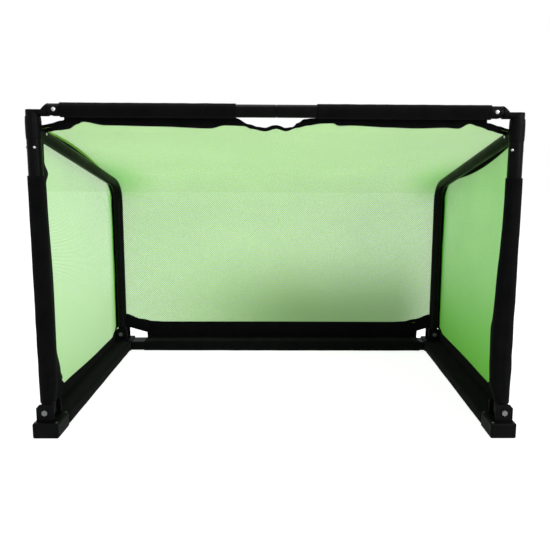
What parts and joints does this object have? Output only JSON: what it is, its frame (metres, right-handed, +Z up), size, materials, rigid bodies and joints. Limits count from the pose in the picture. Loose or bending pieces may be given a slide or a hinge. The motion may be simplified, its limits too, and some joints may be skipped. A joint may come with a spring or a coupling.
{
  "type": "folding goal net",
  "caption": "Small folding sports goal: a black steel tube frame on a flat base, with a green mesh roof, back and sides and black fabric edges.",
  "frame": {"origin": "middle of the footprint, on the ground", "axes": "+X to the right across the mouth, +Y from the mouth to the back, +Z up"},
  "size_m": [1.2, 0.69, 0.8168],
  "materials": {
    "black_tube": "satin black powder coat on steel tube",
    "black_bracket": "satin black paint on bent steel plate",
    "black_plastic": "moulded black plastic with a fine grain",
    "bolt_steel": "dull zinc-plated steel",
    "screw_steel": "bright plated screws and rivets",
    "black_fabric": "woven black polyester",
    "green_mesh": "fine knitted green mesh, partly see-through"
  },
  "bodies": {
    "base": {"base_rear_bar": "black_tube", "rear_skirt": "black_fabric", "roof_back_net": "green_mesh", "net_front_hem": "black_fabric", "base_side_bar_left": "black_tube", "foot_block_left": "black_plastic", "front_clevis_left": "black_bracket", "rear_corner_left": "black_plastic", "side_skirt_left": "black_fabric", "front_pivot_bolt_left": "bolt_steel", "front_lock_nut_left": "bolt_steel", "rear_pivot_bolt_left": "bolt_steel", "rear_lock_nut_left": "bolt_steel", "foot_screw_left_1": "screw_steel", "foot_screw_left_2": "screw_steel", "foot_screw_left_3": "screw_steel", "base_side_bar_right": "black_tube", "foot_block_right": "black_plastic", "front_clevis_right": "black_bracket", "rear_corner_right": "black_plastic", "side_skirt_right": "black_fabric", "front_pivot_bolt_right": "bolt_steel", "front_lock_nut_right": "bolt_steel", "rear_pivot_bolt_right": "bolt_steel", "rear_lock_nut_right": "bolt_steel", "foot_screw_right_1": "screw_steel", "foot_screw_right_2": "screw_steel", "foot_screw_right_3": "screw_steel"},
    "side_left": {"post_left": "black_tube", "post_foot_plug_left": "black_plastic", "post_sleeve_left": "black_fabric", "corner_elbow_left": "black_plastic", "bent_tube_left": "black_tube", "rear_foot_plug_left": "black_plastic", "side_net_left": "green_mesh", "seam_binding_left": "black_fabric", "post_screw_front_left": "screw_steel", "post_screw_side_left": "screw_steel", "bent_tube_rivet_left": "screw_steel"},
    "side_right": {"post_right": "black_tube", "post_foot_plug_right": "black_plastic", "post_sleeve_right": "black_fabric", "corner_elbow_right": "black_plastic", "bent_tube_right": "black_tube", "rear_foot_plug_right": "black_plastic", "side_net_right": "green_mesh", "seam_binding_right": "black_fabric", "post_screw_front_right": "screw_steel", "post_screw_side_right": "screw_steel", "bent_tube_rivet_right": "screw_steel"},
    "crossbar_left": {"crossbar_tube_left": "black_tube", "crossbar_fork_left": "black_plastic", "crossbar_hinge_bolt_left": "screw_steel", "crossbar_sleeve_left": "black_fabric", "crossbar_ferrule": "black_plastic"},
    "crossbar_right": {"crossbar_tube_right": "black_tube", "crossbar_fork_right": "black_plastic", "crossbar_hinge_bolt_right": "screw_steel", "crossbar_sleeve_right": "black_fabric"}
  },
  "joints": [
    {"name": "left_side_fold", "type": "hinge", "parent": "base", "child": "side_left", "pos_m": [-0.572, -0.309, 0.062], "axis": [0, 1, 0], "range_deg": [0, 86], "deforming": ["roof_back_net", "net_front_hem"]},
    {"name": "right_side_fold", "type": "hinge", "parent": "base", "child": "side_right", "pos_m": [0.572, -0.309, 0.062], "axis": [0, -1, 0], "range_deg": [0, 69], "deforming": ["roof_back_net", "net_front_hem"]},
    {"name": "left_crossbar_fold", "type": "hinge", "parent": "side_left", "child": "crossbar_left", "pos_m": [-0.517, -0.309, 0.8], "axis": [0, 1, 0], "range_deg": [0, 90]},
    {"name": "right_crossbar_fold", "type": "hinge", "parent": "side_right", "child": "crossbar_right", "pos_m": [0.517, -0.309, 0.8], "axis": [0, -1, 0], "range_deg": [0, 90]}
  ],
  "couplings": [
    {"joint": "left_crossbar_fold", "follows": "left_side_fold", "ratio": 1.046},
    {"joint": "right_crossbar_fold", "follows": "right_side_fold", "ratio": 1.304}
  ]
}
